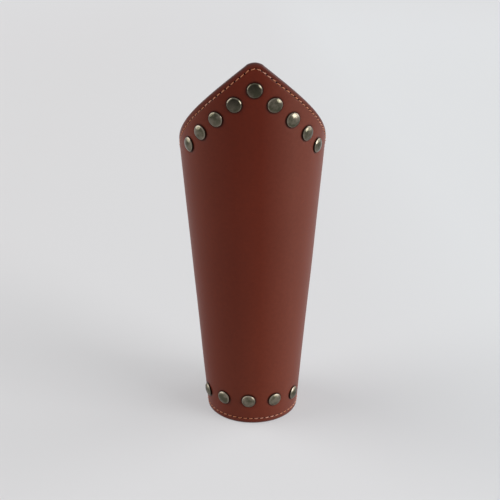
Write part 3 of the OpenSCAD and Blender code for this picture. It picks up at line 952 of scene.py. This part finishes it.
# The lines that the straps follow, in the plane across the sleeve at the strap's height:
# [x, y] with +y through the middle of the opening. Angles are in degrees from there.
BAR_H = GLUE + CHAPE_T + RUNNING + WIRE_R
FOLD_R = WIRE_R + RUNNING + CHAPE_T / 2
OVER_R = FOLD_R + CHAPE_T / 2 + SLACK + BILLET_T / 2
ROLLER_R = WIRE_R + RUNNING + ROLLER_WALL
EYE_R = FOLD_R + CHAPE_T / 2 - EYE_REST
FRAME_TURN = math.asin((OVER_R + BILLET_T / 2 + ROLLER_REST + ROLLER_R) / BUCKLE_SPAN)
PRONG_TURN = math.asin((ROLLER_R + PRONG_REST + PRONG_D / 2) / BUCKLE_SPAN)
KEEPER_GAP = KEEPER_T + 2 * SLACK
OVER_BAR = BAR_H + FOLD_R
ON_SHELF = GLUE + CHAPE_T + KEEPER_GAP + CHAPE_T / 2
ON_LAYER = GLUE + CHAPE_T + GLUE + CHAPE_T / 2
LINE_STEP = 0.6
TURN_STEP = 5
SLOPE_REACH = 0.1


def polar(angle, r):
    return np.array([r * math.sin(math.radians(angle)), r * math.cos(math.radians(angle))])


def steps(start, end, step):
    return np.linspace(start, end, math.ceil(abs(end - start) / step) + 1)


def billet_ring(z):
    """The radius of the billet's middle where it lies on the sleeve."""
    return radius(z) + GLUE + BILLET_T / 2


def bar_at(z):
    return polar(bar_angle(z), radius(z) + BAR_H)


def rise_turn(z):
    """How far before the bar the billet leaves the sleeve to go over it."""
    return math.degrees(math.acos((billet_ring(z) - OVER_R) / (radius(z) + BAR_H)))


def upper_height(d):
    """The height of the middle of the chape's upper layer, this far past the bar: down to
    a shelf over the keeper, and from there to the lower layer."""
    if d < SHELF_START:
        return OVER_BAR + (ON_SHELF - OVER_BAR) * ease(d / SHELF_START)
    if d < SHELF_END:
        return ON_SHELF
    if d < SHELF_DROP:
        return ON_SHELF + (ON_LAYER - ON_SHELF) * ease((d - SHELF_END) / (SHELF_DROP - SHELF_END))
    return ON_LAYER


def on_upper(z, d):
    return polar(bar_angle(z) + d / per_degree(z), radius(z) + upper_height(d))


def past_bar(z, d, lift):
    """A point past the bar, this far above the middle of the chape's upper layer."""
    slope = on_upper(z, d + SLOPE_REACH) - on_upper(z, d - SLOPE_REACH)
    slope /= np.linalg.norm(slope)
    return on_upper(z, d) + np.array([-slope[1], slope[0]]) * lift


def round_bar(z, start, end, r):
    return [bar_at(z) + polar(a + bar_angle(z), r) for a in steps(start, end, TURN_STEP)]


def around_sleeve(z, p, w):
    """Points in the strap's plane, moved by w up the sleeve, in three dimensions."""
    reach = np.linalg.norm(p, axis=1)
    h = reach - radius(z)
    r = radius(z) + h * math.cos(LEAN) + w * math.sin(LEAN)
    up = z + w * math.cos(LEAN) - h * math.sin(LEAN)
    return np.stack([p[:, 0] / reach * r, p[:, 1] / reach * r, up], axis=1)


class StrapLine:
    """The middle of a strap's thickness, and the place of points of the flat strap: their
    distance along it and to one side of it."""

    def __init__(self, z, points):
        self.z = z
        self.points = np.array(points)
        self.runs = run_lengths(self.points, False)
        self.normals = left_normals(self.points, False)
        self.length = self.runs[-1]

    def place(self, flat, height):
        s = flat[:, 0]
        p, n = (np.stack([np.interp(s, self.runs, line[:, k]) for k in (0, 1)], axis=1)
                for line in (self.points, self.normals))
        return around_sleeve(self.z, p + n * height[:, None], -flat[:, 1])

    def run_at(self, point):
        return self.runs[np.linalg.norm(self.points - point, axis=1).argmin()]


def billet_line(z):
    """From its root on the sleeve, over the bar and along the chape to its tail."""
    root = -BILLET_ROOT / per_degree(z)
    leave = bar_angle(z) - rise_turn(z)
    lift = CHAPE_T / 2 + SLACK + BILLET_T / 2
    points = [polar(a, billet_ring(z)) for a in steps(root, leave, 1 / per_degree(z))]
    over = bar_at(z) + polar(leave, OVER_R)
    points += [points[-1] + (over - points[-1]) * t for t in (0.25, 0.5, 0.75)]
    points += round_bar(z, -rise_turn(z), 0, OVER_R)
    points += [past_bar(z, d, lift) for d in steps(LINE_STEP, BILLET_TAIL, LINE_STEP)]
    return StrapLine(z, points)


def chape_line(z):
    """From the lower layer's end to the bar, round it and back on top."""
    under = radius(z) + GLUE + CHAPE_T / 2
    back = steps(CHAPE_REACH, LINE_STEP, LINE_STEP)
    points = [polar(bar_angle(z) + d / per_degree(z), under) for d in back]
    points += round_bar(z, 180, 360, FOLD_R)
    points += [past_bar(z, d, 0) for d in steps(LINE_STEP, CHAPE_REACH, LINE_STEP)]
    return StrapLine(z, points)


# Straps and keepers
CUT_STEP = 0.45
STRAP_BANDS = (0, 0.08, 0.2, 0.36, 0.6, 1.1, 1.35, 1.55, 1.75, 2.0)
HOLE_BANDS = (0, 0.08, 0.2, 0.4, 0.8)
STRAP_ROUND = 0.45
STRAP_GAP = 0.35
CREASE_INSET = 1.55
CREASE_WIDTH = 0.22
CREASE_DEPTH = 0.1
BEND = 0.06
BEND_STEP = 0.5
STRAIGHT_STEP = 1.6
ACROSS_STEP = 1.5
KEEPER_CORNER = 1.1
KEEPER_ROUND = 0.35
LOOP_STEP = 1.0
PROFILE_STEP = 1.2


def strap_outline(length, start_round, end_round):
    angles = np.radians(np.arange(0, 91, 7.5))
    half = STRAP_W / 2
    start = [(start_round * (1 - math.cos(a)), -half * math.sin(a)) for a in angles]
    end = [(length - end_round * (1 - math.cos(a)), -half * math.sin(a)) for a in angles[::-1]]
    side = start + end
    loop = np.array(side + [(s, -w) for s, w in reversed(side[1:-1])])
    return resample(loop, round(run_lengths(loop)[-1] / CUT_STEP))


def long_hole(start, end, d):
    """A hole's edge, clockwise, from its start to its end along the strap."""
    r = d / 2
    angles = np.radians(np.arange(0, 180, 15))
    right = [(end - r + r * math.sin(a), r * math.cos(a)) for a in angles]
    left = [(start + r - r * math.sin(a), -r * math.cos(a)) for a in angles]
    count = max(24, round(2 * (end - start) / CUT_STEP))
    return resample(np.array(right + left), count)


def strap_grid(line):
    """Points close together along the strap where it bends, and further apart elsewhere."""
    turned = np.abs(np.diff(line.normals, axis=0)).sum(axis=1) / np.diff(line.runs)
    columns = [BEND_STEP]
    while columns[-1] < line.length - BEND_STEP:
        bend = np.interp(columns[-1], line.runs[1:], turned)
        columns.append(columns[-1] + (BEND_STEP if bend > BEND else STRAIGHT_STEP))
    across = np.arange(-STRAP_W / 2, STRAP_W / 2, ACROSS_STEP)
    return np.vstack([
        np.stack([np.full(len(across), s), across + ACROSS_STEP / 2 * (j % 2)], axis=1)
        for j, s in enumerate(columns)
    ])


def make_strap(name, line, thickness, start_round, end_round, holes):
    """A strap with a pressed crease along its edges."""
    cut = strap_outline(line.length, start_round, end_round)
    outer = (cut, left_normals(cut), STRAP_BANDS)
    edges = [(hole, left_normals(hole), HOLE_BANDS) for hole in holes]
    sheet = Sheet(outer, edges, strap_grid(line), STRAP_GAP)
    inset = nearest(sheet.points, cut[::3])
    fall = fallen(sheet.edge, STRAP_ROUND)
    top = thickness / 2 - fall + CREASE_DEPTH * dent(inset, CREASE_INSET, CREASE_WIDTH)
    bottom = fall - thickness / 2
    piece = sheet.build(f"{name}_leather", line.place, top, bottom, [STRAP, FLESH])
    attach(piece, "sleeve")
    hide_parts(name)


def prong_hole(slope):
    """Where a prong at this slope goes through the billet, measured back from over the bar."""
    middle = OVER_R / math.tan(slope)
    half = BILLET_T / 2 / math.tan(slope) + PRONG_D / 2 / math.sin(slope)
    return middle - half, middle + half


def make_billet(level, z):
    """Its first hole is for the prong, and long enough for it at rest and lifted. One more
    is before that, and two are past it."""
    line = billet_line(z)
    over = line.run_at(bar_at(z) + polar(bar_angle(z) - rise_turn(z), OVER_R))
    slope = FRAME_TURN + PRONG_TURN
    near = prong_hole(slope + math.radians(PRONG_LIFT))[0] - SLACK
    far = prong_hole(slope)[1] + SLACK
    middle = (near + far) / 2
    lift = CHAPE_T / 2 + BILLET_T / 2
    centres = [over - middle - HOLE_STEP]
    centres += [line.run_at(past_bar(z, i * HOLE_STEP - middle, lift)) for i in (1, 2)]
    holes = [long_hole(over - far, over - near, HOLE_D)]
    holes += [long_hole(s - HOLE_D / 2, s + HOLE_D / 2, HOLE_D) for s in centres]
    make_strap(f"{level}_billet", line, BILLET_T, ROOT_ROUND, TAIL_ROUND, holes)


def make_chape(level, z):
    """Its slot for the prong's eye is in the middle of the fold."""
    line = chape_line(z)
    fold = line.run_at(bar_at(z) + polar(bar_angle(z) - 90, FOLD_R))
    slot = EYE_W + 2 * SLACK
    half = math.pi / 2 * FOLD_R + EYE_R + slot / 2
    holes = [long_hole(fold - half, fold + half, slot)]
    make_strap(f"{level}_chape", line, CHAPE_T, ROOT_ROUND, ROOT_ROUND, holes)


def make_keeper(level, z):
    """A strip bent into a loop: its profile goes round the loop, in height and width."""
    low = GLUE + CHAPE_T + SLACK
    high = ON_SHELF + CHAPE_T / 2 + SLACK + BILLET_T + SLACK + KEEPER_T
    half = STRAP_W / 2 + SIDE_GAP + KEEPER_T
    inset = KEEPER_T / 2
    box = (low + inset, high - inset, inset - half, half - inset)
    loop = rounded_rectangle(*box, KEEPER_CORNER, LOOP_STEP)
    outward = -left_normals(loop)
    box = (-KEEPER_W / 2, KEEPER_W / 2, -inset, inset)
    profile = rounded_rectangle(*box, KEEPER_ROUND, PROFILE_STEP)
    middle = bar_angle(z) + KEEPER_AT / per_degree(z)
    vertices = []
    for (h, w), (out_h, out_w) in zip(loop, outward):
        turned = np.array([
            polar(middle + u / per_degree(z), radius(z) + h + out_h * v) for u, v in profile
        ])
        vertices.append(around_sleeve(z, turned, w + out_w * profile[:, 1]))
    n, sides = len(loop), len(profile)
    faces = []
    for i in range(n):
        for k in range(sides):
            a, b = i * sides, (i + 1) % n * sides
            faces.append((a + k, a + (k + 1) % sides, b + (k + 1) % sides, b + k))
    from_edge = np.tile(KEEPER_W / 2 - np.abs(profile[:, 0]), n)
    piece = make_object(
        f"{level}_keeper_leather", np.vstack(vertices), faces, [STRAP],
        attributes={"edge_mm": from_edge},
    )
    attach(piece, f"{level}_keeper")
    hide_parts(f"{level}_keeper")


def dress(node, material):
    """Gives a CAD node's own mesh a better material."""
    mesh = bpy.data.objects[node].data
    mesh.materials.clear()
    mesh.materials.append(material)


# Studio
WORLD_COLOUR = (0.98, 0.99, 1.0)
WORLD_STRENGTH = 0.24
FLOOR_COLOUR = (0.70, 0.70, 0.705)
# The ground is painted lighter and bluer towards the right: a painted pool of light from the
# windows on that side.
GROUND_LEFT = (0.715, 0.705, 0.715)
GROUND_MIDDLE = (0.74, 0.745, 0.765)
GROUND_RIGHT = (0.81, 0.84, 0.865)
GROUND_SPAN = 0.3
GROUND_SHARE = 0.42
FLOOR_HALF = 15
FAR_START = 1.3
FAR_END = 3.2
BACKDROP_COLOUR = (0.72, 0.722, 0.735)


def towards(azimuth, elevation):
    """The direction in which something stands: azimuth 0 is in front, 90 on the right."""
    a, e = math.radians(azimuth), math.radians(elevation)
    return Vector((math.sin(a) * math.cos(e), -math.cos(a) * math.cos(e), math.sin(e)))


def sun(name, azimuth, elevation, spread, strength, colour):
    data = bpy.data.lights.new(name, "SUN")
    data.angle = math.radians(spread)
    data.energy = strength * math.pi
    data.color = colour
    direction = towards(azimuth, elevation).to_track_quat("Z", "Y")
    add_object(name, data).rotation_euler = direction.to_euler()


def seen(n):
    """One for what the camera sees, also in metal and through glass, and zero for what
    lights the object."""
    path = n.add("ShaderNodeLightPath")
    mirrored = n.combine("MAXIMUM", (path, "Is Camera Ray"), (path, "Is Glossy Ray"))
    return n.combine("MAXIMUM", mirrored, (path, "Is Transmission Ray"))


def ground(n):
    """The pale ground's colour, which is painted lighter and bluer on the right, a painted pool
    of the windows' light, and becomes the backdrop's far away, and how much of it is seen as it
    is, with no shadow."""
    position = n.add("ShaderNodeNewGeometry"), "Position"
    parts = n.add("ShaderNodeSeparateXYZ", Vector=position)
    across = n.range((parts, "X"), -GROUND_SPAN, GROUND_SPAN, 0, 1)
    # Painted pool of light on the right.
    near = n.ramp(across, [(0, GROUND_LEFT), (0.65, GROUND_MIDDLE), (0.9, GROUND_RIGHT)])
    distance = n.add("ShaderNodeVectorMath", operation="LENGTH", Vector=position), "Value"
    far = n.range(distance, FAR_START, FAR_END, 0, 1)
    share = n.range(distance, FAR_START, FAR_END, GROUND_SHARE, 1)
    return n.mix(far, near, BACKDROP_COLOUR), share


def make_floor():
    far = FLOOR_HALF
    corners = [(-far, -far, 0), (far, -far, 0), (far, far, 0), (-far, far, 0)]
    mesh = bpy.data.meshes.new("floor")
    mesh.from_pydata(corners, [], [(0, 1, 2, 3)])
    n = Surface("floor_paper")
    colour, plain = ground(n)
    glow = n.add("ShaderNodeEmission", Color=colour)
    paper = n.add("ShaderNodeBsdfPrincipled", Base_Color=(*FLOOR_COLOUR, 1), Roughness=0.95)
    n.give(paper, "Specular IOR Level", 0.0)
    share = n.combine("MULTIPLY", seen(n), plain)
    both = n.either(share, (paper, "BSDF"), (glow, "Emission"))
    n.add("ShaderNodeOutputMaterial", Surface=both)
    mesh.materials.append(n.material)
    floor = add_object("floor", mesh)


def make_world():
    world = bpy.data.worlds.new("studio")
    bpy.context.scene.world = world
    world.use_nodes = True
    n = Nodes(world.node_tree)
    light = n.add("ShaderNodeBackground", Color=(*WORLD_COLOUR, 1), Strength=WORLD_STRENGTH)
    back = n.add("ShaderNodeBackground", Color=(*BACKDROP_COLOUR, 1))
    both = n.either(seen(n), (light, "Background"), (back, "Background"))
    n.add("ShaderNodeOutputWorld", Surface=both)


def make_lamps():
    sun("window", 60, 20, spread=36, strength=0.70, colour=(0.995, 0.995, 1.0))
    sun("side_window", 98, 24, spread=60, strength=0.53, colour=(0.99, 0.995, 1.0))
    sun("left_panel", -97, 26, spread=60, strength=0.69, colour=(1.0, 0.99, 0.98))


# The camera stands where the photograph's outline and rivets fit best.
CAMERA_REACH = 574.2
CAMERA_HEIGHT = 339.2
CAMERA_AZIMUTH = -1.57
CAMERA_PITCH = 21.26
FOCAL_PX = 912
FRAME_PX = 500
AXIS_SHIFT_PX = 2.33


def make_camera():
    data = bpy.data.cameras.new("camera")
    data.sensor_width = 36
    data.lens = FOCAL_PX / FRAME_PX * data.sensor_width
    data.shift_x = -AXIS_SHIFT_PX / FRAME_PX
    data.clip_start = 0.01
    camera = add_object("camera", data)
    camera.location = towards(CAMERA_AZIMUTH, 0) * CAMERA_REACH * MM
    camera.location.z = CAMERA_HEIGHT * MM
    camera.rotation_euler = (math.radians(90 - CAMERA_PITCH), 0, math.radians(CAMERA_AZIMUTH))
    bpy.context.scene.camera = camera


bpy.context.scene.view_settings.view_transform = "Standard"
make_camera()
make_world()
make_floor()
make_lamps()
line, normals, insets = stitch_line()
make_face(line, normals, insets)
make_lining(line, normals, insets)
make_stitches("face_stitches", line, normals, -FACE_GROOVE, 1)
make_stitches("lining_stitches", line, normals, STITCH_SINK - WALL, -1)
make_caps("elbow", ELBOW_ROW, reflection_darkness=1.0, dull_from=60)
make_caps("wrist", WRIST_ROW, reflection_darkness=0, dull_from=-1)
make_caps("strap", STRAP_ROWS, reflection_darkness=0, dull_from=360)
for group in ("elbow", "wrist", "strap"):
    dress(f"{group}_rivet_posts", POST)
for level, height in STRAP_HEIGHTS.items():
    make_billet(level, height)
    make_chape(level, height)
    make_keeper(level, height)
    for part in ("frame", "roller", "prong"):
        dress(f"{level}_buckle_{part}", BUCKLE)
